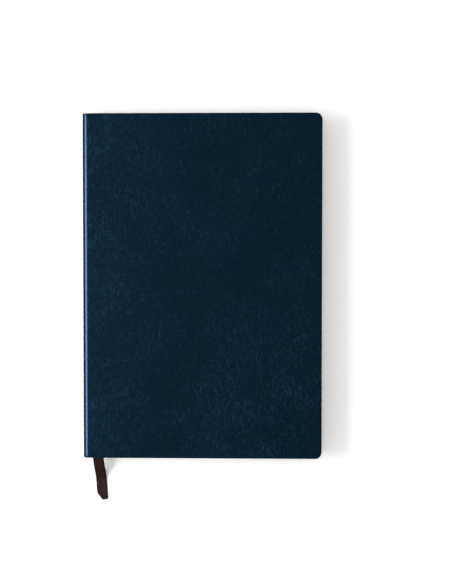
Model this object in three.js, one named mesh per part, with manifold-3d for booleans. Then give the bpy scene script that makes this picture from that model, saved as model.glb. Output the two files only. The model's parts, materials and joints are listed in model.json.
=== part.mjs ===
// Pilot logbook: a casebound book of sewn sections in a leatherette cover, lying closed on its back cover.
// Millimetres. +X runs from the spine to the fore edge, +Y to the head, +Z up through the closed book.
// The origin is the centre of the back cover's underside.

import * as THREE from "three";
import { mergeVertices } from "three/addons/utils/BufferGeometryUtils.js";
import Module from "manifold-3d";

const wasm = await Module();
wasm.setup();

// Cover
const COVER_WIDTH = 145.5;
const COVER_HEIGHT = 210;
const CORNER_RADIUS = 4;
const SKIN = 0.8;
const BOARD = 0.8;
const SPINE_EDGE_RADIUS = 3.2;
const BOARD_SETBACK = 5;
const TURN_IN = 0.4;
const TURN_IN_WIDTH = 12;
const MULL = 0.3;
const MULL_WIDTH = 22;
const MULL_END_MARGIN = 2;
const PASTEDOWN = 0.2;
const PASTEDOWN_MARGIN = 3;
const PASTEDOWN_SETBACK = 3.4;

// Spine
const INLAY = 0.6;
const LINER = 0.3;
const INLAY_END_MARGIN = 1.2;
const FOLD_CLEARANCE = 0.8;

// Text block
const SECTIONS_PER_HALF = 6;
const SECTION = 0.8;
const FLYLEAF = 0.2;
const HEAD_SQUARE = 2.5;
const FORE_SQUARE = 3;
const PAGE_CORNER_RADIUS = 3;
const THREAD_GROOVE_WIDTH = 0.36;
const THREAD_GROOVE_DEPTH = 0.4;
const THREAD = 0.26;
const STITCH_LENGTH = 170;

// Head and tail bands
const BAND_LENGTH = 1.4;
const BAND_DEPTH = 1.8;

// Ribbon marker
const RIBBON_WIDTH = 6.6;
const RIBBON = 0.3;
const RIBBON_FROM_SPINE = 8.25;
const RIBBON_TAIL_OUT = 28.2;
const RIBBON_LEAN = 1.8;
const RIBBON_REST_HEIGHT = 0.25;

// Gaps between pieces that touch
const GAP = 0.05;
const LEAF_GAP = 0.1;
const FACE_GAP = 0.3;

const CORNER_STEPS = 6;

// Places that follow from the sizes above
const SPINE_X = -COVER_WIDTH / 2;
const FORE_X = COVER_WIDTH / 2;
const HEAD_Y = COVER_HEIGHT / 2;
const BOARD_Z = SKIN + GAP;
const LINING_Z = BOARD_Z + BOARD + GAP;
const TURN_IN_TOP = LINING_Z + Math.max(TURN_IN, MULL);
const PASTEDOWN_Z = TURN_IN_TOP + GAP;
const FLYLEAF_Z = PASTEDOWN_Z + PASTEDOWN + LEAF_GAP;
const BLOCK_Z = FLYLEAF_Z + FLYLEAF + LEAF_GAP;
const SECTION_PITCH = SECTION + GAP;
const MIDDLE_GAP = RIBBON + 2 * LEAF_GAP;
const HALF_BLOCK = SECTIONS_PER_HALF * SECTION_PITCH - GAP;
const MIDDLE_Z = BLOCK_Z + HALF_BLOCK + MIDDLE_GAP / 2;
const THICKNESS = 2 * MIDDLE_Z;
const SKIN_X = SPINE_X + SPINE_EDGE_RADIUS + GAP;
const BOARD_X = SPINE_X + Math.max(BOARD_SETBACK, SPINE_EDGE_RADIUS) + GAP;
const SPINE_Z = SPINE_EDGE_RADIUS + GAP;
const INLAY_X = SPINE_X + SKIN + GAP;
const LINER_X = INLAY_X + INLAY + GAP;
const FOLD_X = LINER_X + LINER + FOLD_CLEARANCE;
const PAGE_FORE_X = FORE_X - FORE_SQUARE;
const PAGE_HEAD_Y = HEAD_Y - HEAD_SQUARE;
const RIBBON_X = SPINE_X + RIBBON_FROM_SPINE;

const LEATHERETTE = { color: 0x0c2436, roughness: 0.5 };
const BOARD_GREY = { color: 0x8a857c, roughness: 0.9 };
const ENDPAPER = { color: 0xe9e2d0, roughness: 0.85 };
const PAGE_PAPER = { color: 0xf1eddf, roughness: 0.85 };
const KRAFT = { color: 0xa98458, roughness: 0.9 };
const COTTON = { color: 0xe6e0d2, roughness: 0.95 };
const SATIN = { color: 0x35201e, roughness: 0.6 };

const book = new THREE.Group();

function addMesh(name, geometry, finish) {
  const material = new THREE.MeshStandardMaterial({ ...finish, metalness: 0 });
  const mesh = new THREE.Mesh(geometry, material);
  mesh.name = name;
  book.add(mesh);
  return mesh;
}

// A closed geometry as a manifold-3d solid.
function toSolid(geometry) {
  const bare = geometry.index ? geometry.toNonIndexed() : geometry.clone();
  bare.deleteAttribute("normal");
  bare.deleteAttribute("uv");
  const merged = mergeVertices(bare, 1e-5);
  const vertProperties = new Float32Array(merged.attributes.position.array);
  const triVerts = new Uint32Array(merged.index.array);
  return new wasm.Manifold(new wasm.Mesh({ numProp: 3, vertProperties, triVerts }));
}

function toGeometry(solid) {
  const mesh = solid.getMesh();
  const geometry = new THREE.BufferGeometry();
  geometry.setAttribute("position", new THREE.BufferAttribute(mesh.vertProperties, 3));
  geometry.setIndex(new THREE.BufferAttribute(mesh.triVerts, 1));
  return geometry;
}

function box(x0, x1, y0, y1, z0, z1) {
  const geometry = new THREE.BoxGeometry(x1 - x0, y1 - y0, z1 - z0);
  return geometry.translate((x0 + x1) / 2, (y0 + y1) / 2, (z0 + z1) / 2);
}

// A plate with square corners at the spine and round corners at the fore edge.
function leafPlate(x0, x1, halfHeight, radius, z0, z1) {
  const outline = new THREE.Shape();
  outline.moveTo(x0, -halfHeight);
  outline.lineTo(x1 - radius, -halfHeight);
  outline.absarc(x1 - radius, radius - halfHeight, radius, -Math.PI / 2, 0, false);
  outline.lineTo(x1, halfHeight - radius);
  outline.absarc(x1 - radius, halfHeight - radius, radius, 0, Math.PI / 2, false);
  outline.lineTo(x0, halfHeight);
  outline.closePath();
  const settings = { depth: z1 - z0, bevelEnabled: false, curveSegments: CORNER_STEPS };
  return new THREE.ExtrudeGeometry(outline, settings).translate(0, 0, z0);
}

// An outline drawn across the book, X by Z, run along Y from y0 to y1.
function alongSpine(outline, y0, y1) {
  const settings = { depth: y1 - y0, bevelEnabled: false, curveSegments: CORNER_STEPS };
  return new THREE.ExtrudeGeometry(outline, settings).rotateX(Math.PI / 2).translate(0, y1, 0);
}

// The same piece turned over, front cover for back cover.
function mirrored(geometry) {
  const solid = toSolid(geometry);
  return toGeometry(solid.mirror([0, 0, 1]).translate([0, 0, THICKNESS]));
}

// Skin of one cover: an outer sheet whose three free edges turn up round the board and in over it.
function coverSkin() {
  const sheet = leafPlate(SKIN_X, FORE_X, HEAD_Y, CORNER_RADIUS, 0, TURN_IN_TOP);
  const boardRoom = leafPlate(
    SKIN_X - 1, FORE_X - SKIN, HEAD_Y - SKIN, Math.max(CORNER_RADIUS - SKIN, 1), SKIN, LINING_Z,
  );
  const opening = leafPlate(
    SKIN_X - 1,
    FORE_X - TURN_IN_WIDTH,
    HEAD_Y - TURN_IN_WIDTH,
    1,
    LINING_Z - GAP,
    TURN_IN_TOP + 1,
  );
  return toGeometry(toSolid(sheet).subtract(toSolid(boardRoom)).subtract(toSolid(opening)));
}

// Leather over the joint: a quarter ring from the cover's face to the spine's face.
function jointLeather() {
  const outline = new THREE.Shape();
  const centreX = SPINE_X + SPINE_EDGE_RADIUS;
  const inner = SPINE_EDGE_RADIUS - SKIN;
  outline.absarc(centreX, SPINE_EDGE_RADIUS, SPINE_EDGE_RADIUS, Math.PI, 1.5 * Math.PI, false);
  outline.lineTo(centreX, SPINE_EDGE_RADIUS - inner);
  outline.absarc(centreX, SPINE_EDGE_RADIUS, inner, 1.5 * Math.PI, Math.PI, true);
  outline.closePath();
  return alongSpine(outline, -HEAD_Y, HEAD_Y);
}

// The pieces of one cover, back and front alike.
function addCover(side, place) {
  addMesh(`${side}_cover_skin`, place(coverSkin()), LEATHERETTE);
  addMesh(`${side}_joint_leather`, place(jointLeather()), LEATHERETTE);
  const wrap = SKIN + GAP;
  const board = leafPlate(
    BOARD_X, FORE_X - wrap, HEAD_Y - wrap, Math.max(CORNER_RADIUS - wrap, 1), BOARD_Z, BOARD_Z + BOARD,
  );
  addMesh(`${side}_board`, place(board), BOARD_GREY);
  const mullHalf = HEAD_Y - TURN_IN_WIDTH - MULL_END_MARGIN;
  const mull = box(BOARD_X, BOARD_X + MULL_WIDTH, -mullHalf, mullHalf, LINING_Z, LINING_Z + MULL);
  addMesh(`${side}_mull_flap`, place(mull), COTTON);
  const pastedown = leafPlate(
    SPINE_X + PASTEDOWN_SETBACK,
    FORE_X - PASTEDOWN_MARGIN,
    HEAD_Y - PASTEDOWN_MARGIN,
    CORNER_RADIUS,
    PASTEDOWN_Z,
    PASTEDOWN_Z + PASTEDOWN,
  );
  addMesh(`${side}_pastedown`, place(pastedown), ENDPAPER);
  const flyleaf = leafPlate(
    FOLD_X, PAGE_FORE_X, PAGE_HEAD_Y, PAGE_CORNER_RADIUS, FLYLEAF_Z, FLYLEAF_Z + FLYLEAF,
  );
  addMesh(`${side}_flyleaf`, place(flyleaf), ENDPAPER);
}

function addSpine() {
  const top = THICKNESS - SPINE_Z;
  const skin = box(SPINE_X, SPINE_X + SKIN, -HEAD_Y, HEAD_Y, SPINE_Z, top);
  addMesh("spine_skin", skin, LEATHERETTE);
  const inlayHalf = HEAD_Y - INLAY_END_MARGIN;
  addMesh("spine_inlay", box(INLAY_X, INLAY_X + INLAY, -inlayHalf, inlayHalf, SPINE_Z, top), BOARD_GREY);
  const liner = box(LINER_X, LINER_X + LINER, -PAGE_HEAD_Y, PAGE_HEAD_Y, SPINE_Z, top);
  addMesh("spine_liner", liner, KRAFT);
}

// One folded section: a slab of pages with a round back fold and a groove for its stitching.
function sectionSolid(z) {
  const slab = leafPlate(FOLD_X, PAGE_FORE_X, PAGE_HEAD_Y, PAGE_CORNER_RADIUS, z, z + SECTION);
  const fold = new THREE.Shape();
  const radius = SECTION / 2;
  const middle = z + radius;
  fold.moveTo(FOLD_X + radius, z + SECTION);
  fold.absarc(FOLD_X + radius, middle, radius, Math.PI / 2, 1.5 * Math.PI, false);
  fold.lineTo(FORE_X, z);
  fold.lineTo(FORE_X, z + SECTION);
  fold.closePath();
  const rounded = toSolid(alongSpine(fold, -HEAD_Y, HEAD_Y));
  const grooveHalf = THREAD_GROOVE_WIDTH / 2;
  const groove = box(
    FOLD_X - 1,
    FOLD_X + THREAD_GROOVE_DEPTH,
    -STITCH_LENGTH / 2 - GAP,
    STITCH_LENGTH / 2 + GAP,
    middle - grooveHalf,
    middle + grooveHalf,
  );
  return toGeometry(toSolid(slab).intersect(rounded).subtract(toSolid(groove)));
}

function threadStitch(z) {
  const half = THREAD / 2;
  const x = FOLD_X + THREAD_GROOVE_DEPTH - GAP - THREAD;
  const middle = z + SECTION / 2;
  const stitchHalf = STITCH_LENGTH / 2;
  return box(x, x + THREAD, -stitchHalf, stitchHalf, middle - half, middle + half);
}

// Section 1 is at the front of the book, so it lies uppermost.
function addSections() {
  const count = 2 * SECTIONS_PER_HALF;
  for (let index = 0; index < count; index += 1) {
    const fromBack = count - 1 - index;
    const upper = fromBack >= SECTIONS_PER_HALF;
    const z = BLOCK_Z + fromBack * SECTION_PITCH + (upper ? MIDDLE_GAP - GAP : 0);
    const number = String(index + 1).padStart(2, "0");
    addMesh(`section_${number}`, sectionSolid(z), PAGE_PAPER);
    addMesh(`section_${number}_thread`, threadStitch(z), COTTON);
  }
}

// Half of a head or tail band: a bead that closes the end of the folds.
function bandHalf(end) {
  const outline = new THREE.Shape();
  const radius = BAND_DEPTH / 2;
  const top = MIDDLE_Z - MIDDLE_GAP / 2;
  outline.moveTo(FOLD_X + BAND_DEPTH, BLOCK_Z + radius);
  outline.lineTo(FOLD_X + BAND_DEPTH, top);
  outline.lineTo(FOLD_X, top);
  outline.lineTo(FOLD_X, BLOCK_Z + radius);
  outline.absarc(FOLD_X + radius, BLOCK_Z + radius, radius, Math.PI, 2 * Math.PI, false);
  const near = PAGE_HEAD_Y + FACE_GAP;
  const far = near + BAND_LENGTH;
  return end > 0 ? alongSpine(outline, near, far) : alongSpine(outline, -far, -near);
}

function addBands() {
  for (const [name, end] of [["headband", 1], ["tailband", -1]]) {
    addMesh(`${name}_rear_half`, bandHalf(end), COTTON);
    addMesh(`${name}_front_half`, mirrored(bandHalf(end)), COTTON);
  }
}

// Side view of the ribbon's tail as shares of its reach and of its drop, from the tail edge to the table.
const TAIL_ROUTE = [
  [0, 0], [0.07, 0.02], [0.16, 0.13], [0.26, 0.37], [0.36, 0.66], [0.47, 0.88], [0.6, 1], [1, 1],
];

function ribbonTail(exitY, exitZ) {
  const drop = exitZ - RIBBON_REST_HEIGHT;
  const under = TAIL_ROUTE.map(([out, down]) => [out * RIBBON_TAIL_OUT, exitZ - down * drop]);
  const over = under.map(([out, z]) => [out, z + RIBBON]).reverse();
  const outline = new THREE.Shape([...under, ...over].map(([out, z]) => new THREE.Vector2(out, z)));
  const tail = new THREE.ExtrudeGeometry(outline, { depth: RIBBON_WIDTH, bevelEnabled: false });
  tail.rotateX(Math.PI / 2).rotateZ(-Math.PI / 2).translate(RIBBON_WIDTH / 2, 0, 0);
  const lean = new THREE.Matrix4().makeShear(0, 0, -RIBBON_LEAN / RIBBON_TAIL_OUT, 0, 0, 0);
  return tail.applyMatrix4(lean).translate(RIBBON_X, exitY, 0);
}

// Ribbon marker between the two middle sections, with its tail drooping from the book's tail edge.
function addRibbon() {
  const half = RIBBON_WIDTH / 2;
  const bottom = MIDDLE_Z - RIBBON / 2;
  const start = -HEAD_Y;
  const run = box(
    RIBBON_X - half, RIBBON_X + half, start, PAGE_HEAD_Y - FACE_GAP, bottom, bottom + RIBBON,
  );
  addMesh("ribbon_run", run, SATIN);
  addMesh("ribbon_tail", ribbonTail(start - FACE_GAP, bottom), SATIN);
}

addCover("rear", (geometry) => geometry);
addCover("front", mirrored);
addSpine();
addSections();
addBands();
addRibbon();

export default book;
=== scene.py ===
# %% [markdown]
# # A pilot logbook in coated leatherette
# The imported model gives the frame: every cover board, section and joint is already in its place, in
# metres. This lesson dresses that frame. The cover is modelled as the real jacket is made, one thin sheet
# wrapped round the boards; the pages are folded sheets; the ribbon is a woven strip. Nothing here moves a
# frame part.

# %% The frame
import math
import json
import random

import bpy
import bmesh
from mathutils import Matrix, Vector

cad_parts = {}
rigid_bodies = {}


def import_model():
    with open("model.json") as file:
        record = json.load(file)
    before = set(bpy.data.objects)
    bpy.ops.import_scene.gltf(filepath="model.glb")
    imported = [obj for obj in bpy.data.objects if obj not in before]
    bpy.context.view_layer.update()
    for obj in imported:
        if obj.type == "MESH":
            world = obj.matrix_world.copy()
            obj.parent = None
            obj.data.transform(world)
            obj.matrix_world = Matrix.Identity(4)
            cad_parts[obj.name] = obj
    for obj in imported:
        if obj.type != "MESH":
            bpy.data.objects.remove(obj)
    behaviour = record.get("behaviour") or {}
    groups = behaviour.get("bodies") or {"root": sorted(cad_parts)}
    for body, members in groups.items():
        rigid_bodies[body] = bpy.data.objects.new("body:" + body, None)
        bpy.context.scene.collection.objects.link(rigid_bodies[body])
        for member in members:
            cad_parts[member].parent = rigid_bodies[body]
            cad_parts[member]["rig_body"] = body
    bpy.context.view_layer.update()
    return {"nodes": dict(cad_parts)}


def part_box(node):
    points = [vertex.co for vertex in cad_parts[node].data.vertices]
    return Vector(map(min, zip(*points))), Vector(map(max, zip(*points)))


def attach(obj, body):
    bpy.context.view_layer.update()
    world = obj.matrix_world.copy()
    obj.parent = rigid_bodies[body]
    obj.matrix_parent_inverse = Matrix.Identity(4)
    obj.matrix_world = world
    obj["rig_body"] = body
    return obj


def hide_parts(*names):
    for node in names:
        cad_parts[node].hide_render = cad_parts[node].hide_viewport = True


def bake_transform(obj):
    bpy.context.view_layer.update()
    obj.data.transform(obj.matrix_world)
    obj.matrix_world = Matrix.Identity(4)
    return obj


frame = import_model()
MM = 0.001

# %% [markdown]
# ## The camera
# The book is seen from almost straight above, from under a metre away, with a mild long lens, so the
# outline is nearly a true rectangle. It is made first, so that the view is settled before anything is put
# in it.

# %% Camera
CAMERA_PLACE = (0.0431, 0.0293, 0.8513)
CAMERA_TILT = (-2.235, 1.956, 0.01)
bpy.ops.object.camera_add(location=CAMERA_PLACE, rotation=[math.radians(a) for a in CAMERA_TILT])
camera = bpy.context.object
camera.name = "camera"
camera.data.lens = 85
camera.data.sensor_width = 36
camera.data.clip_end = 10
bpy.context.scene.camera = camera
print("camera at", CAMERA_PLACE, "with a", camera.data.lens, "mm lens")

# %% [markdown]
# ## Helpers
# Each operator works on what is selected, so a piece is always opened alone with nothing selected in it,
# and its faces or edges are then picked by where they are.

# %% Helpers for modelling
def close_to(value, target, slack=1e-5):
    return abs(value - target) < slack


def start_box(name, low, high):
    """A cube primitive at its size and place, alone in the selection, with its place in its mesh."""
    bpy.ops.object.select_all(action="DESELECT")
    low, high = Vector(low), Vector(high)
    bpy.ops.mesh.primitive_cube_add(size=1, location=(low + high) / 2)
    piece = bpy.context.object
    piece.name = name
    piece.data.name = name
    piece.scale = high - low
    bpy.ops.object.transform_apply(location=True, rotation=True, scale=True)
    return piece


def open_piece(piece):
    """Edit mode on this piece only, with nothing selected."""
    if bpy.context.object and bpy.context.object.mode == "EDIT":
        bpy.ops.object.mode_set(mode="OBJECT")
    bpy.ops.object.select_all(action="DESELECT")
    piece.select_set(True)
    bpy.context.view_layer.objects.active = piece
    bpy.ops.object.mode_set(mode="EDIT")
    bpy.ops.mesh.select_all(action="DESELECT")


def close_piece():
    bpy.ops.object.mode_set(mode="OBJECT")


def pick(piece, kind, test):
    """Selects only the faces or edges that pass the test, and says how many there are."""
    bpy.ops.mesh.select_all(action="DESELECT")
    bpy.ops.mesh.select_mode(type=kind)
    cage = bmesh.from_edit_mesh(piece.data)
    found = [e for e in (cage.faces if kind == "FACE" else cage.edges) if test(e)]
    for element in found:
        element.select_set(True)
    cage.select_flush_mode()
    bmesh.update_edit_mesh(piece.data)
    return len(found)


def apply_modifier(piece, kind, **settings):
    modifier = piece.modifiers.new(kind.lower(), kind)
    for name, value in settings.items():
        setattr(modifier, name, value)
    bpy.ops.object.select_all(action="DESELECT")
    piece.select_set(True)
    bpy.context.view_layer.objects.active = piece
    bpy.ops.object.modifier_apply(modifier=modifier.name)


def smooth(piece, degrees):
    bpy.ops.object.select_all(action="DESELECT")
    piece.select_set(True)
    bpy.context.view_layer.objects.active = piece
    bpy.ops.object.shade_smooth_by_angle(angle=math.radians(degrees))


def copy_piece(piece, name):
    twin = piece.copy()
    twin.data = piece.data.copy()
    twin.name = name
    twin.data.name = name
    bpy.context.scene.collection.objects.link(twin)
    return twin


def smooth_route(points, per_span):
    """A Catmull-Rom curve through the points."""
    ends = [2 * points[0] - points[1], *points, 2 * points[-1] - points[-2]]
    route = []
    for before, a, b, after in zip(ends, ends[1:], ends[2:], ends[3:]):
        for step in range(per_span):
            t = step / per_span
            route.append(
                0.5 * (2 * a + (b - before) * t + (2 * before - 5 * a + 4 * b - after) * t**2)
                + 0.5 * (3 * a - before - 3 * b + after) * t**3
            )
    return [*route, points[-1]]


# %% [markdown]
# Materials are built from nodes. One small function adds a node and joins its links, and one makes the
# shader.

# %% Helpers for materials
def tone(code):
    """An sRGB hex colour as the linear colour that a shader takes."""
    parts = [int(code[i : i + 2], 16) / 255 for i in (1, 3, 5)]
    return [p / 12.92 if p <= 0.04045 else ((p + 0.055) / 1.055) ** 2.4 for p in parts] + [1.0]


def add_node(tree, kind, settings=None, **links):
    """Adds one node. Settings name its sockets or properties; links name the sockets to join to."""
    made = tree.nodes.new(kind)
    for name, value in (settings or {}).items():
        if hasattr(made, name):
            setattr(made, name, value)
        else:
            made.inputs[int(name) if name.isdigit() else name].default_value = value
    for name, source in links.items():
        name = name.replace("_", " ")
        socket = made.inputs[int(name[1:]) if name[0] == "n" and name[1:].isdigit() else name]
        tree.links.new(source, socket)
    return made


def new_material(name, **shader_settings):
    """A material with only its Principled shader, whose constant values are set on its own sockets."""
    material = bpy.data.materials.new(name)
    material.use_nodes = True
    shader = material.node_tree.nodes["Principled BSDF"]
    for socket, value in shader_settings.items():
        shader.inputs[socket.replace("_", " ")].default_value = value
    return material, material.node_tree, shader


def dress(piece, material):
    piece.data.materials.clear()
    piece.data.materials.append(material)


# %% [markdown]
# ## Coated leatherette
# The cover cloth is PU leatherette: a woven backing with a coloured film, embossed with a fine grain and
# semi-gloss. Handling leaves short wavy creases that run with the spine, strongest near it and in
# patches, and a slightly cloudy tone. The creases are painted a lighter blue, partly as wear and partly as
# painted sheen: the strip by the spine, where the key light falls, gets the most. The grain could be
# modelled, but at a tenth of a millimetre it is far finer than any mesh needed here, so it is made by
# bump:
# a small cell pattern for the grain and a stretched, bent noise for the creases.

# %% Leatherette material
# The strip by the joint is both wear and painted sheen: lighter creases where the key light falls.
JOINT_WEAR_AND_LIT_SIDE = (-0.07, -0.02)
THUMB_CORNER = (0.04, -0.075, 0.016)
THUMB_WEAR = (0.01, 0.07)
WEAR_AND_SHEEN_LEFT = 0.45


def make_leatherette():
    material, tree, shader = new_material(
        "coated_leatherette",
        IOR=1.5,
        Specular_Tint=tone("#7ab8ff"),
        Coat_Weight=0.45,
        Coat_Roughness=0.23,
    )
    place = add_node(tree, "ShaderNodeTexCoord").outputs["Object"]
    in_mm = add_node(tree, "ShaderNodeMapping", {"Scale": (1000, 1000, 1000)}, Vector=place)
    along = add_node(tree, "ShaderNodeMapping", {"Scale": (1000, 360, 1000)}, Vector=place)

    # Where hands and flexing wear it: beside the joint, and towards the fore edge's tail corner.
    # The strip beside the joint is also painted sheen, lighter because the key light falls on that side.
    split = add_node(tree, "ShaderNodeSeparateXYZ", None, Vector=place)
    joint_wear_and_lit_side = add_node(
        tree,
        "ShaderNodeMapRange",
        {"From Min": JOINT_WEAR_AND_LIT_SIDE[0], "From Max": JOINT_WEAR_AND_LIT_SIDE[1], "To Min": 1.0, "To Max": WEAR_AND_SHEEN_LEFT},
        Value=split.outputs["X"],
    )
    from_corner = add_node(
        tree, "ShaderNodeVectorMath", {"operation": "DISTANCE", "1": THUMB_CORNER}, n0=place
    )
    by_corner = add_node(
        tree,
        "ShaderNodeMapRange",
        {"From Min": THUMB_WEAR[0], "From Max": THUMB_WEAR[1], "To Min": 1.0, "To Max": WEAR_AND_SHEEN_LEFT},
        Value=from_corner.outputs["Value"],
    )
    wear_and_lit_side_place = add_node(
        tree, "ShaderNodeMath", {"operation": "MAXIMUM"}, n0=joint_wear_and_lit_side.outputs[0], n1=by_corner.outputs[0]
    )
    patch = add_node(
        tree,
        "ShaderNodeTexNoise",
        {"Scale": 0.05, "Detail": 4.0, "Roughness": 0.6},
        Vector=in_mm.outputs[0],
    )
    patch_share = add_node(
        tree,
        "ShaderNodeMapRange",
        {"From Min": 0.3, "From Max": 0.65, "To Min": 0.2},
        Value=patch.outputs["Fac"],
    )
    wear_and_sheen = add_node(
        tree,
        "ShaderNodeMath",
        {"operation": "MULTIPLY"},
        n0=wear_and_lit_side_place.outputs[0],
        n1=patch_share.outputs[0],
    )

    # Short wavy creases that run with the spine, over a fine pressed grain.
    crease = add_node(
        tree,
        "ShaderNodeTexNoise",
        {"Scale": 1.0, "Detail": 3.0, "Distortion": 1.2},
        Vector=along.outputs[0],
    )
    ridge = add_node(
        tree, "ShaderNodeMapRange", {"From Min": 0.48, "From Max": 0.78}, Value=crease.outputs["Fac"]
    )
    crease_wear_and_sheen = add_node(
        tree, "ShaderNodeMath", {"operation": "MULTIPLY"}, n0=ridge.outputs[0], n1=wear_and_sheen.outputs[0]
    )
    grain = add_node(
        tree, "ShaderNodeTexVoronoi", {"Scale": 2.2, "feature": "SMOOTH_F1"}, Vector=in_mm.outputs[0]
    )

    cloud = add_node(tree, "ShaderNodeTexNoise", {"Scale": 0.035, "Detail": 3.0}, Vector=in_mm.outputs[0])
    base = add_node(
        tree,
        "ShaderNodeMix",
        {"data_type": "RGBA", "6": tone("#01141d"), "7": tone("#031b28")},
        Factor=cloud.outputs["Fac"],
    )
    # Lighter crease colour: partly wear, partly painted sheen, strongest by the spine on the lit side.
    worn_and_sheen = add_node(
        tree,
        "ShaderNodeMix",
        {"data_type": "RGBA", "7": tone("#11364d")},
        Factor=crease_wear_and_sheen.outputs[0],
        n6=base.outputs[2],
    )
    tree.links.new(worn_and_sheen.outputs[2], shader.inputs["Base Color"])
    gloss = add_node(
        tree, "ShaderNodeMapRange", {"To Min": 0.28, "To Max": 0.36}, Value=crease_wear_and_sheen.outputs[0]
    )
    tree.links.new(gloss.outputs[0], shader.inputs["Roughness"])
    fine = add_node(
        tree, "ShaderNodeBump", {"Strength": 0.2, "Distance": 0.00005}, Height=grain.outputs["Distance"]
    )
    bumps = add_node(
        tree,
        "ShaderNodeBump",
        {"Strength": 0.6, "Distance": 0.00004},
        Height=crease_wear_and_sheen.outputs[0],
        Normal=fine.outputs[0],
    )
    tree.links.new(bumps.outputs[0], shader.inputs["Normal"])
    return material


leatherette = make_leatherette()
print("made", leatherette.name)

# %% [markdown]
# ## Paper, board and cloth
# Paper and board are rough and hardly shine. The boards are grey pulp with flecks, and the spine's liner
# is kraft.

# %% Paper materials
def flecked(name, dark, light, fleck_mm, bump_mm, roughness):
    """A pulp surface: two tones mixed by a fine noise, with the same noise as its bump."""
    material, tree, shader = new_material(name, Roughness=roughness, IOR=1.47)
    place = add_node(tree, "ShaderNodeTexCoord")
    pulp = add_node(
        tree,
        "ShaderNodeTexNoise",
        {"Scale": 1 / (fleck_mm * MM), "Detail": 5.0, "Roughness": 0.65},
        Vector=place.outputs["Object"],
    )
    colour = add_node(
        tree,
        "ShaderNodeMix",
        {"data_type": "RGBA", "6": tone(dark), "7": tone(light)},
        Factor=pulp.outputs["Fac"],
    )
    tree.links.new(colour.outputs[2], shader.inputs["Base Color"])
    bump = add_node(
        tree, "ShaderNodeBump", {"Strength": 0.4, "Distance": bump_mm * MM}, Height=pulp.outputs["Fac"]
    )
    tree.links.new(bump.outputs[0], shader.inputs["Normal"])
    return material, tree, shader, colour, place


grey_board = flecked("grey_pulp_board", "#6f6a61", "#9d978c", 1.2, 0.08, 0.92)[0]
kraft = flecked("kraft_paper", "#8a6942", "#ac895e", 0.9, 0.03, 0.85)[0]
endpaper = flecked("laid_endpaper", "#c6bda6", "#d8d0bb", 1.5, 0.02, 0.8)[0]
print("made", grey_board.name, kraft.name, endpaper.name)

# %% [markdown]
# The pages are ruled as a log is, with rows and a few columns and no words. The lines could be strips of
# mesh, but ink has no thickness, so they are worked out from the place on the page and stop at its
# margins.

# %% Ruled paper
ROW_PITCH_MM = 8.0
COLUMN_PITCH_MM = 17.0
RULED_HALF_HEIGHT = 0.0885
RULED_HALF_WIDTH = 0.0595


def make_page_paper():
    """Writing paper ruled for a log: fine blue lines across, with a few darker column lines."""
    material, tree, shader, colour, place = flecked(
        "ruled_writing_paper", "#cfc9b8", "#ddd8c8", 2.0, 0.015, 0.85
    )
    split = add_node(tree, "ShaderNodeSeparateXYZ", None, Vector=place.outputs["Object"])

    def ruling(source, pitch_mm, line_mm):
        turns = add_node(
            tree, "ShaderNodeMath", {"operation": "MULTIPLY", "1": 1 / (pitch_mm * MM)}, n0=source
        )
        share = add_node(tree, "ShaderNodeMath", {"operation": "FRACT"}, n0=turns.outputs[0])
        line = add_node(
            tree,
            "ShaderNodeMath",
            {"operation": "LESS_THAN", "1": line_mm / pitch_mm},
            n0=share.outputs[0],
        )
        return line.outputs[0]

    rows = ruling(split.outputs["Y"], ROW_PITCH_MM, 0.35)
    columns = ruling(split.outputs["X"], COLUMN_PITCH_MM, 0.45)
    inside_y = add_node(tree, "ShaderNodeMath", {"operation": "ABSOLUTE"}, n0=split.outputs["Y"])
    in_margin = add_node(
        tree, "ShaderNodeMath", {"operation": "LESS_THAN", "1": RULED_HALF_HEIGHT}, n0=inside_y.outputs[0]
    )
    inside_x = add_node(tree, "ShaderNodeMath", {"operation": "ABSOLUTE"}, n0=split.outputs["X"])
    in_side_margin = add_node(
        tree, "ShaderNodeMath", {"operation": "LESS_THAN", "1": RULED_HALF_WIDTH}, n0=inside_x.outputs[0]
    )
    either = add_node(tree, "ShaderNodeMath", {"operation": "MAXIMUM"}, n0=rows, n1=columns)
    framed = add_node(
        tree,
        "ShaderNodeMath",
        {"operation": "MULTIPLY"},
        n0=in_margin.outputs[0],
        n1=in_side_margin.outputs[0],
    )
    inked = add_node(
        tree, "ShaderNodeMath", {"operation": "MULTIPLY"}, n0=either.outputs[0], n1=framed.outputs[0]
    )
    ruled = add_node(
        tree,
        "ShaderNodeMix",
        {"data_type": "RGBA", "7": tone("#6f93aa")},
        Factor=inked.outputs[0],
        n6=colour.outputs[2],
    )
    tree.links.new(ruled.outputs[2], shader.inputs["Base Color"])
    return material


page_paper = make_page_paper()
print("made", page_paper.name)

# %% [markdown]
# Mull is an open cotton weave, the sections are sewn with waxed linen, and the bands are wound in two
# colours of cotton. All three are threads crossing at a known spacing, so one function serves them.

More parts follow.
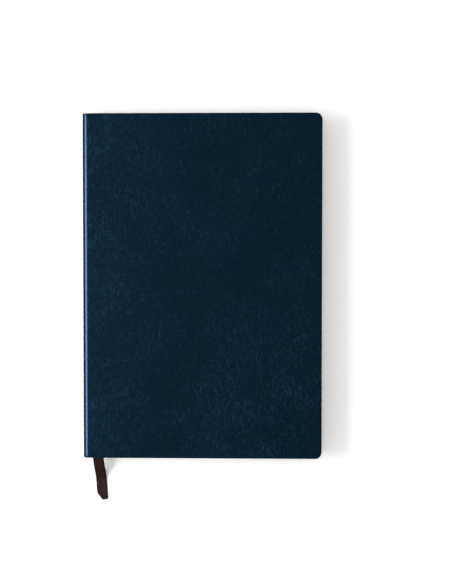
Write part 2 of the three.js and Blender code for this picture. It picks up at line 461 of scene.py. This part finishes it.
# %% Woven materials
def woven(name, dark, light, thread_mm, bump_mm, roughness, sheen):
    """Crossing threads: two wave patterns at the thread spacing, multiplied for the bump and the colour.
    The colour is darker in the hollows between threads as painted shade; in the bands the dark is also
    their second cotton colour.
    """
    material, tree, shader = new_material(name, Roughness=roughness, Sheen_Weight=sheen)
    place = add_node(tree, "ShaderNodeTexCoord")
    waves = []
    for direction in ("X", "Y"):
        wave = add_node(
            tree,
            "ShaderNodeTexWave",
            {"Scale": 0.314 / (thread_mm * MM), "Distortion": 0.6, "bands_direction": direction},
            Vector=place.outputs["Object"],
        )
        waves.append(wave.outputs["Fac"])
    weave = add_node(tree, "ShaderNodeMath", {"operation": "MULTIPLY"}, n0=waves[0], n1=waves[1])
    # Darker where the weave is low: painted shade between the threads, and for the bands also their second
    # cotton colour.
    colour = add_node(
        tree,
        "ShaderNodeMix",
        {"data_type": "RGBA", "6": tone(dark), "7": tone(light)},
        Factor=weave.outputs[0],
    )
    tree.links.new(colour.outputs[2], shader.inputs["Base Color"])
    bump = add_node(
        tree, "ShaderNodeBump", {"Strength": 0.6, "Distance": bump_mm * MM}, Height=weave.outputs[0]
    )
    tree.links.new(bump.outputs[0], shader.inputs["Normal"])
    return material


mull = woven("open_weave_mull", "#a89f8b", "#efe9da", 0.8, 0.15, 0.9, 0.2)
linen_thread = woven("waxed_linen_thread", "#b9ae97", "#e9e1cf", 0.3, 0.05, 0.7, 0.1)
band_cotton = woven("wound_cotton_band", "#24384a", "#e9e4d6", 0.9, 0.1, 0.8, 0.3)
print("made", mull.name, linen_thread.name, band_cotton.name)

# %% [markdown]
# ## The jacket
# The real cover is one sheet of leatherette glued round two boards and a spine stiffener, with its edges
# turned in. It bends at two joints, so it is split where the frame holds it still: once in the middle of
# the spine and once half way round the front joint. It could be drawn as a flat sheet and folded by
# simulation, but the shape is known exactly, so it is made by hand: a box with round corners and rolled
# rims, opened at the spine side, whose open edge is spun round the joint and run down the spine. The back
# is the same piece turned over.

# %% Sizes of the jacket, from the frame
skin_low, skin_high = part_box("front_cover_skin")
joint_low, joint_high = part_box("front_joint_leather")
THICKNESS = skin_high.z
MIDDLE_Z = THICKNESS / 2
CORNER_RADIUS = 4 * MM
RIM_RADIUS = 0.8 * MM
RIM_FLAT = 0.6 * MM
FOLD_CLEAR = 1 * MM
TURN_IN_WIDTH = 12 * MM
SHEET = 0.4 * MM
JOINT_CENTRE = Vector((joint_high.x, 0, joint_low.z))
ARC_STEPS = 24
print("cover", skin_high - skin_low, "joint radius", joint_high.x - joint_low.x)


# %% Front half of the jacket
def mitre_turn_ins(half):
    """The turn-ins meet in a square mitre, so each inner corner's points are drawn together into one."""
    for end in (-1, 1):
        corner = Vector((skin_high.x - TURN_IN_WIDTH, end * (skin_high.y - TURN_IN_WIDTH), skin_low.z))
        reach = TURN_IN_WIDTH - CORNER_RADIUS + RIM_RADIUS
        bpy.ops.mesh.select_all(action="DESELECT")
        bpy.ops.mesh.select_mode(type="VERT")
        cage = bmesh.from_edit_mesh(half.data)
        for vertex in cage.verts:
            past = vertex.co - corner
            near = -1e-5 < past.x < reach and -1e-5 < end * past.y < reach
            vertex.select_set(near and close_to(vertex.co.z, skin_low.z))
        cage.select_flush_mode()
        bmesh.update_edit_mesh(half.data)
        bpy.ops.transform.resize(value=(0, 0, 1), center_override=corner)
        bpy.ops.mesh.remove_doubles(threshold=1e-6)


def make_half_jacket():
    """The front cover's outside, its rolled rims and turn-ins, its joint and half of the spine."""
    half = start_box("half_jacket", (JOINT_CENTRE.x, skin_low.y, skin_low.z), skin_high)
    open_piece(half)
    pick(
        half,
        "EDGE",
        lambda e: all(close_to(v.co.x, skin_high.x) for v in e.verts)
        and close_to(e.verts[0].co.y, e.verts[1].co.y),
    )
    bpy.ops.mesh.bevel(offset=CORNER_RADIUS, segments=12, affect="EDGES")
    pick(half, "FACE", lambda f: f.normal.x < -0.9)
    bpy.ops.mesh.delete(type="ONLY_FACE")
    pick(
        half,
        "EDGE",
        lambda e: close_to(e.verts[0].co.z, e.verts[1].co.z)
        and not all(close_to(v.co.x, JOINT_CENTRE.x) for v in e.verts),
    )
    bpy.ops.mesh.bevel(offset=RIM_RADIUS, segments=5, affect="EDGES")
    pick(half, "FACE", lambda f: f.normal.z > 0.999 and f.calc_area() > 0.01)
    bpy.ops.mesh.inset(thickness=RIM_FLAT, use_boundary=False)
    pick(half, "FACE", lambda f: f.normal.z < -0.999 and f.calc_area() > 0.01)
    bpy.ops.mesh.inset(thickness=TURN_IN_WIDTH - RIM_RADIUS, use_boundary=False)
    bpy.ops.mesh.delete(type="FACE")
    mitre_turn_ins(half)
    bpy.ops.mesh.select_all(action="SELECT")
    bpy.ops.mesh.bisect(plane_co=(JOINT_CENTRE.x + FOLD_CLEAR, 0, 0), plane_no=(1, 0, 0))
    pick(half, "EDGE", lambda e: all(close_to(v.co.x, JOINT_CENTRE.x) for v in e.verts))
    bpy.ops.mesh.spin(steps=ARC_STEPS, angle=math.pi / 2, center=JOINT_CENTRE, axis=(0, 1, 0))
    bpy.ops.mesh.extrude_region_move(TRANSFORM_OT_translate={"value": (0, 0, MIDDLE_Z - joint_low.z)})
    bpy.ops.mesh.select_all(action="SELECT")
    bpy.ops.mesh.remove_doubles(threshold=1e-6)
    bpy.ops.mesh.normals_make_consistent(inside=False)
    close_piece()
    return half


half_jacket = make_half_jacket()
print("half jacket:", len(half_jacket.data.polygons), "faces")


# %% [markdown]
# The half is turned over for the back, and the front one is cut half way round its joint. Each of the
# three sheets then gets its thickness with a Solidify modifier, inwards, so the outside stays true to
# size.

# %% The three sheets
def turn_over(piece):
    open_piece(piece)
    bpy.ops.mesh.select_all(action="SELECT")
    bpy.ops.transform.resize(value=(1, 1, -1), center_override=(0, 0, MIDDLE_Z))
    bpy.ops.mesh.normals_make_consistent(inside=False)
    close_piece()


def past_half_turn(face):
    """Faces of the joint that lie nearer the spine than the middle of the quarter turn."""
    out = face.calc_center_median() - JOINT_CENTRE
    return out.x < 0 and -out.x > out.z


rear_jacket = copy_piece(half_jacket, "rear_jacket")
turn_over(rear_jacket)
spine_jacket = copy_piece(half_jacket, "spine_jacket")
open_piece(spine_jacket)
pick(spine_jacket, "FACE", lambda f: not past_half_turn(f))
bpy.ops.mesh.delete(type="FACE")
close_piece()
front_jacket = half_jacket
front_jacket.name = "front_jacket"
open_piece(front_jacket)
pick(front_jacket, "FACE", past_half_turn)
bpy.ops.mesh.delete(type="FACE")
close_piece()
jackets = (front_jacket, spine_jacket, rear_jacket)
for jacket in jackets:
    apply_modifier(jacket, "SOLIDIFY", thickness=SHEET, offset=-1, use_even_offset=True, use_rim=True)
    smooth(jacket, 40)
    dress(jacket, leatherette)
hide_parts("front_cover_skin")
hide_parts("spine_skin", "front_joint_leather")
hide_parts("rear_cover_skin", "rear_joint_leather")

spine_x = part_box("spine_skin")[0].x
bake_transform(front_jacket)
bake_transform(spine_jacket)
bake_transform(rear_jacket)
print("jacket:", [len(j.data.polygons) for j in jackets], "faces")

# %% [markdown]
# ## The front endpaper and flyleaf
# An endpaper is one folded sheet. One leaf is pasted down inside the cover, it runs through the joint,
# and its other leaf is the flyleaf, which stands free of the pages. It could be two flat plates, but then
# the joint would gape when the cover opens. So the pasted leaf is a plane with round fore corners, whose
# spine edge is extruded along the way that the paper takes through the joint.

# %% Front endpaper
ENDPAPER = 0.14 * MM
ENDPAPER_CORNER = 3 * MM
# The flat, pasted leaf starts clear of the fold. From there the hollow gives the paper's way, as
# millimetres from the spine and up from the table.
PASTE_START = 1.5 * MM
JOINT_HOLLOW = [(4.2, 14.45), (3.6, 14.5), (3.0, 14.5), (2.5, 14.42)]


def start_leaf(name, low, high, strips):
    """A flat leaf half way up its box, in strips that run with the spine, with round fore corners."""
    bpy.ops.object.select_all(action="DESELECT")
    bpy.ops.mesh.primitive_grid_add(x_subdivisions=strips, y_subdivisions=1, size=1)
    leaf = bpy.context.object
    leaf.name = name
    leaf.data.name = name
    leaf.scale = (high.x - low.x, high.y - low.y, 1)
    leaf.location = (low + high) / 2
    bpy.ops.object.transform_apply(location=True, rotation=True, scale=True)
    open_piece(leaf)
    bpy.ops.mesh.select_mode(type="VERT")
    cage = bmesh.from_edit_mesh(leaf.data)
    for vertex in cage.verts:
        vertex.select_set(close_to(vertex.co.x, high.x))
    cage.select_flush_mode()
    bmesh.update_edit_mesh(leaf.data)
    bpy.ops.mesh.bevel(offset=ENDPAPER_CORNER, segments=8, affect="VERTICES")
    return leaf


def make_endpaper():
    low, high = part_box("front_pastedown")
    low.x += PASTE_START
    leaf = start_leaf("front_endpaper", low, high, 2)
    pick(leaf, "EDGE", lambda e: all(close_to(v.co.x, low.x) for v in e.verts))
    here = Vector((low.x, 0, (low.z + high.z) / 2))
    for there in joint_way(here):
        bpy.ops.mesh.extrude_region_move(TRANSFORM_OT_translate={"value": there - here})
        here = there
    bpy.ops.mesh.select_all(action="SELECT")
    bpy.ops.mesh.normals_make_consistent(inside=False)
    close_piece()
    return leaf


def joint_way(start):
    """The points that the paper runs through from the pasted leaf to the flyleaf, past the start."""
    fly_low, fly_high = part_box("front_flyleaf")
    end = Vector((fly_low.x, 0, (fly_low.z + fly_high.z) / 2))
    points = [Vector((spine_x + x * MM, 0, z * MM)) for x, z in JOINT_HOLLOW]
    return smooth_route([start, *points, end], 4)[1:]


front_endpaper = make_endpaper()
apply_modifier(front_endpaper, "SOLIDIFY", thickness=ENDPAPER, offset=0, use_rim=True)
smooth(front_endpaper, 40)
dress(front_endpaper, endpaper)
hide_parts("front_pastedown")
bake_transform(front_endpaper)
print("front endpaper:", len(front_endpaper.data.polygons), "faces")

# %% [markdown]
# The flyleaf is the free leaf, which in the book lifts a little with the cover. Here it is a flat leaf
# in narrow strips.

# %% Front flyleaf
FLYLEAF_STRIPS = 30
fly_low, fly_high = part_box("front_flyleaf")
flyleaf = start_leaf("front_flyleaf_sheet", fly_low, fly_high, FLYLEAF_STRIPS)
close_piece()
apply_modifier(flyleaf, "SOLIDIFY", thickness=ENDPAPER, offset=0, use_rim=True)
smooth(flyleaf, 40)
dress(flyleaf, endpaper)
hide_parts("front_flyleaf")
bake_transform(flyleaf)
print("flyleaf:", len(flyleaf.data.polygons), "faces")

# %% [markdown]
# ## The sections
# Each section is four sheets folded together and sewn through the fold. A folded sheet is modelled as one
# piece of paper: a thin leaf whose back edge is spun half a turn and then drawn out again as the second
# leaf. One section of nested sheets is made and copied for the rest, and the fore edges are given the
# slight unevenness of cut pages.

# %% One folded section
LEAVES_PER_SIDE = 4
LEAF = 0.084 * MM
PAGE_CORNER = 3 * MM
first_low, first_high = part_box("section_12")
SECTION = first_high.z - first_low.z
LEAF_PITCH = SECTION / (2 * LEAVES_PER_SIDE)
fold_x = first_low.x + SECTION / 2


def round_fore_corners(piece, fore_x, low_z, high_z):
    pick(
        piece,
        "EDGE",
        lambda e: all(close_to(v.co.x, fore_x) for v in e.verts)
        and close_to(e.verts[0].co.y, e.verts[1].co.y)
        and all(low_z < v.co.z < high_z for v in e.verts),
    )
    bpy.ops.mesh.bevel(offset=PAGE_CORNER, segments=6, affect="EDGES")


def make_sheet(order, middle_z):
    """The sheet that is the given number out from the middle of the section."""
    height = (order + 0.5) * LEAF_PITCH
    low = (fold_x, first_low.y, middle_z + height - LEAF / 2)
    high = (first_high.x, first_high.y, middle_z + height + LEAF / 2)
    sheet = start_box("sheet", low, high)
    open_piece(sheet)
    round_fore_corners(sheet, first_high.x, middle_z, middle_z + SECTION)
    pick(sheet, "FACE", lambda f: f.normal.x < -0.9)
    bpy.ops.mesh.spin(steps=8, angle=math.pi, center=(fold_x, 0, middle_z), axis=(0, 1, 0))
    bpy.ops.mesh.extrude_region_move(TRANSFORM_OT_translate={"value": (first_high.x - fold_x, 0, 0)})
    round_fore_corners(sheet, first_high.x, middle_z - SECTION, middle_z)
    bpy.ops.mesh.select_all(action="SELECT")
    bpy.ops.mesh.normals_make_consistent(inside=False)
    close_piece()
    return sheet


def join_pieces(pieces, name):
    bpy.ops.object.select_all(action="DESELECT")
    for piece in pieces:
        piece.select_set(True)
    bpy.context.view_layer.objects.active = pieces[0]
    bpy.ops.object.join()
    pieces[0].name = name
    pieces[0].data.name = name
    return pieces[0]


section_master = join_pieces(
    [make_sheet(order, (first_low.z + first_high.z) / 2) for order in range(LEAVES_PER_SIDE)],
    "section_master",
)
smooth(section_master, 40)
dress(section_master, page_paper)
print("one section:", len(section_master.data.polygons), "faces")

# %% [markdown]
# The section is copied to the place of each of the twelve. A guillotine never cuts quite evenly, so each
# leaf's fore edge is moved by up to a tenth of a millimetre or so.

# %% Twelve sections
CUT_UNEVENNESS = 0.12 * MM
rng = random.Random(12)
for name in sorted(n for n in frame["nodes"] if n.startswith("section_") and not n.endswith("_thread")):
    low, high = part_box(name)
    pages = copy_piece(section_master, "pages_" + name[-2:])
    lift = low.z - first_low.z
    trims = {}
    for vertex in pages.data.vertices:
        leaf = math.floor((vertex.co.z - first_low.z) / LEAF_PITCH)
        if vertex.co.x > fold_x + SECTION:
            trim = (rng.uniform(0, CUT_UNEVENNESS), rng.uniform(-0.5, 0.5) * CUT_UNEVENNESS)
            short, aside = trims.setdefault(leaf, trim)
            vertex.co.x -= short
            vertex.co.y += aside
        vertex.co.z += lift
    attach(pages, frame["nodes"][name]["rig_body"])
    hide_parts(name)
bpy.data.objects.remove(section_master)
print("made twelve sections of", 2 * LEAVES_PER_SIDE, "leaves")

# %% [markdown]
# ## The ribbon marker
# The marker is a woven satin ribbon, glued behind the head band, laid between the two middle sections and
# hanging out at the tail. A woven ribbon has a firm edge, the selvedge, and its end is cut on a slant so
# it doesn't fray. It is limp, so outside the book it droops to the table and lies there. It could be a
# bevelled curve, but a flat strip bends only one way, so it is a grid drawn along its route.

# %% Ribbon
RIBBON_SHEET = 0.22 * MM
run_low, run_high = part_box("ribbon_run")
tail_low, tail_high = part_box("ribbon_tail")
RIBBON_X = (run_low.x + run_high.x) / 2
RIBBON_Z = (run_low.z + run_high.z) / 2
RIBBON_WIDTH = run_high.x - run_low.x
TAIL_REACH = tail_high.y - tail_low.y
TAIL_LEAN = (tail_high.x - tail_low.x) - RIBBON_WIDTH
TAIL_ROUTE = [
    (0, 0), (0.07, 0.02), (0.16, 0.13), (0.26, 0.37), (0.36, 0.66), (0.47, 0.88), (0.6, 1), (1, 1),
]
REST_Z = 0.4 * MM
INSIDE_STEPS = 20
TIP_SLANT = 4.6 * MM
TIP_ROUNDING = 0.7 * MM


def route_point(share, down):
    height = RIBBON_Z + (REST_Z - RIBBON_Z) * down
    return Vector((RIBBON_X + share * TAIL_LEAN, tail_high.y - share * TAIL_REACH, height))


inside_step = (tail_high.y - run_high.y) / INSIDE_STEPS
inside = [Vector((RIBBON_X, run_high.y + inside_step * i, RIBBON_Z)) for i in range(INSIDE_STEPS)]
outside = smooth_route([route_point(share, down) for share, down in TAIL_ROUTE], 5)
ribbon_route = inside + outside
ribbon_length = sum((b - a).length for a, b in zip(ribbon_route, ribbon_route[1:]))
ACROSS = 18
CUT_ROWS = 10


def make_ribbon():
    bpy.ops.object.select_all(action="DESELECT")
    bpy.ops.mesh.primitive_grid_add(x_subdivisions=ACROSS, y_subdivisions=len(ribbon_route) - 1, size=1)
    ribbon = bpy.context.object
    ribbon.name = "ribbon_marker"
    ribbon.data.name = "ribbon_marker"
    rows = len(ribbon_route) - 1
    for vertex in ribbon.data.vertices:
        row = round((0.5 - vertex.co.y) * rows)
        across = vertex.co.x
        centre = ribbon_route[row]
        ahead = ribbon_route[min(row + 1, rows)] - ribbon_route[max(row - 1, 0)]
        side = Vector((-ahead.y, ahead.x, 0)).normalized()
        place = centre + side * across * RIBBON_WIDTH
        cut = TIP_SLANT * max(0, -0.06 - across) / 0.44
        cut += TIP_ROUNDING * (max(0, abs(across + 0.02) - 0.36) / 0.14) ** 2
        place -= ahead.normalized() * cut * max(0, row - rows + CUT_ROWS) / CUT_ROWS
        vertex.co = place
    return ribbon


ribbon = make_ribbon()
apply_modifier(ribbon, "SOLIDIFY", thickness=RIBBON_SHEET, offset=0, use_rim=True)
smooth(ribbon, 60)


def make_satin():
    """Satin ribbon: fine ribs across it, cloudy brown dye, mottled flecks with painted sheen on the rib
    crests, and darker down each side.
    """
    material, tree, shader = new_material("woven_satin_ribbon", Specular_IOR_Level=0.15)
    place = add_node(tree, "ShaderNodeTexCoord")
    flat_size = (RIBBON_WIDTH / MM, ribbon_length / MM, 1)
    on_ribbon = add_node(tree, "ShaderNodeMapping", {"Scale": flat_size}, Vector=place.outputs["UV"])
    across = add_node(tree, "ShaderNodeSeparateXYZ", None, Vector=on_ribbon.outputs[0])
    from_middle = add_node(
        tree,
        "ShaderNodeMath",
        {"operation": "SUBTRACT", "1": RIBBON_WIDTH / MM / 2},
        n0=across.outputs["X"],
    )
    to_edge = add_node(tree, "ShaderNodeMath", {"operation": "ABSOLUTE"}, n0=from_middle.outputs[0])
    # Darker along both edges of the ribbon.
    edge_darkening = add_node(
        tree,
        "ShaderNodeMapRange",
        {"From Min": RIBBON_WIDTH / MM / 2 - 1.0, "From Max": RIBBON_WIDTH / MM / 2 - 0.45},
        Value=to_edge.outputs[0],
    )
    ribs = add_node(
        tree,
        "ShaderNodeTexWave",
        {"Scale": 0.314 / 0.4, "Distortion": 0.8, "bands_direction": "Y"},
        Vector=on_ribbon.outputs[0],
    )
    flecks = add_node(
        tree,
        "ShaderNodeTexNoise",
        {"Scale": 0.7, "Detail": 4.0, "Roughness": 0.65},
        Vector=on_ribbon.outputs[0],
    )
    mixed = add_node(
        tree,
        "ShaderNodeMath",
        {"operation": "MULTIPLY"},
        n0=ribs.outputs["Fac"],
        n1=flecks.outputs["Fac"],
    )
    dye = add_node(
        tree, "ShaderNodeTexNoise", {"Scale": 0.22, "Detail": 3.0}, Vector=on_ribbon.outputs[0]
    )
    cloudy = add_node(
        tree, "ShaderNodeMapRange", {"From Min": 0.35, "From Max": 0.7}, Value=dye.outputs["Fac"]
    )
    ground = add_node(
        tree,
        "ShaderNodeMix",
        {"data_type": "RGBA", "6": tone("#180a08"), "7": tone("#28130e")},
        Factor=cloudy.outputs[0],
    )
    # Lighter brown on the rib crests and flecks: the flecks are the ribbon's mottling, the lighter crests
    # are painted sheen.
    flecks_and_rib_sheen = add_node(
        tree,
        "ShaderNodeMix",
        {"data_type": "RGBA", "7": tone("#3f241f")},
        Factor=mixed.outputs[0],
        n6=ground.outputs[2],
    )
    edged = add_node(
        tree,
        "ShaderNodeMix",
        {"data_type": "RGBA", "7": tone("#0c0404")},
        Factor=edge_darkening.outputs[0],
        n6=flecks_and_rib_sheen.outputs[2],
    )
    tree.links.new(edged.outputs[2], shader.inputs["Base Color"])
    shine = add_node(tree, "ShaderNodeMapRange", {"To Min": 0.6, "To Max": 0.8}, Value=mixed.outputs[0])
    tree.links.new(shine.outputs[0], shader.inputs["Roughness"])
    bump = add_node(
        tree, "ShaderNodeBump", {"Strength": 0.5, "Distance": 0.05 * MM}, Height=mixed.outputs[0]
    )
    tree.links.new(bump.outputs[0], shader.inputs["Normal"])
    return material


dress(ribbon, make_satin())
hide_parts("ribbon_run", "ribbon_tail")
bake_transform(ribbon)
print("ribbon:", round(ribbon_length * 1000, 1), "mm long")

# %% [markdown]
# ## Head and tail bands
# A band covers the ends of the folds at the head and the tail. It is a cord wound in two colours of
# cotton, so it is modelled as a row of small wraps. Each half goes with its own outermost section.

# %% Bands
WRAP_PITCH = 0.9 * MM


def make_band(node):
    low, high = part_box(node)
    wraps = []
    count = round((high.z - low.z) / WRAP_PITCH)
    for index in range(count):
        z0 = low.z + (high.z - low.z) * index / count
        z1 = low.z + (high.z - low.z) * (index + 1) / count
        wrap = start_box("wrap", (low.x, low.y, z0), (high.x, high.y, z1))
        open_piece(wrap)
        pick(wrap, "EDGE", lambda e: True)
        bpy.ops.mesh.bevel(offset=0.22 * MM, segments=3, affect="EDGES")
        close_piece()
        wraps.append(wrap)
    band = join_pieces(wraps, "wound_" + node)
    smooth(band, 50)
    return band


for node in ("headband_rear_half", "headband_front_half", "tailband_rear_half", "tailband_front_half"):
    band = make_band(node)
    dress(band, band_cotton)
    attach(band, frame["nodes"][node]["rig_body"])
    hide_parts(node)
print("made four band halves")

# %% [markdown]
# ## The plain pieces
# Boards, mull flaps, the back endpaper, the spine's stiffener and liner, and the thread keep the frame's
# own shapes, which are true already. They only take their finishes.

# %% Finishes for the pieces that the frame already holds
FINISHES = {
    "board": grey_board,
    "mull_flap": mull,
    "pastedown": endpaper,
    "flyleaf": endpaper,
    "spine_inlay": grey_board,
    "spine_liner": kraft,
    "thread": linen_thread,
}
for name, piece in frame["nodes"].items():
    for ending, material in FINISHES.items():
        if name.endswith(ending):
            dress(piece, material)
print("dressed the boards, endpapers, liner and threads")

# %% [markdown]
# ## The room and its light
# The book lies on a pale sweep, and an even glow fills the room. A key box on the spine's side throws the
# soft shadow past the fore edge. A second, cooler box beside it is seen only in reflections: it draws the
# bright line along the spine's edge and the slow fall of tone across the cover, without whitening the
# paper. The sweep is kept out of reflections too, or the dark roll of the spine would mirror it as a pale
# line.

# %% Floor and lights
AMBIENT_GLOW = 0.96
BACKDROP_GLOW = 0.93
bpy.ops.object.select_all(action="DESELECT")
bpy.ops.mesh.primitive_plane_add(size=6, location=(0, 0, 0))
floor = bpy.context.object
floor.name = "floor"
floor.visible_glossy = False
floor_material, _, floor_shader = new_material("pale_sweep", Roughness=0.9)
floor_shader.inputs["Base Color"].default_value = tone("#f7f7f7")
dress(floor, floor_material)


def add_soft_box(name, place, width, height, watts, colour):
    """A rectangular area light aimed at the book."""
    bpy.ops.object.light_add(type="AREA", location=place)
    light = bpy.context.object
    light.name = name
    light.data.shape = "RECTANGLE"
    light.data.size = width
    light.data.size_y = height
    light.data.energy = watts
    light.data.color = colour
    light.rotation_euler = (-Vector(place)).to_track_quat("-Z", "Y").to_euler()
    return light


key = add_soft_box("key_soft_box", (-0.66, 0.0, 0.56), 0.55, 0.3, 6.0, (1, 1, 1))
key.visible_glossy = False
gloss = add_soft_box("gloss_soft_box", (-0.64, 0.0, 0.56), 0.55, 0.46, 9.5, (0.64, 0.76, 0.96))
gloss.visible_diffuse = False

world = bpy.data.worlds.new("studio")
bpy.context.scene.world = world
world.use_nodes = True
sky = world.node_tree
background = sky.nodes["Background"]
ray = add_node(sky, "ShaderNodeLightPath")
glow = add_node(
    sky,
    "ShaderNodeMix",
    {"data_type": "FLOAT", "2": AMBIENT_GLOW, "3": BACKDROP_GLOW},
    Factor=ray.outputs["Is Camera Ray"],
)
sky.links.new(glow.outputs[0], background.inputs["Strength"])
background.inputs["Color"].default_value = (1, 1, 1, 1)
world.cycles_visibility.glossy = False
bpy.context.scene.view_settings.view_transform = "Standard"
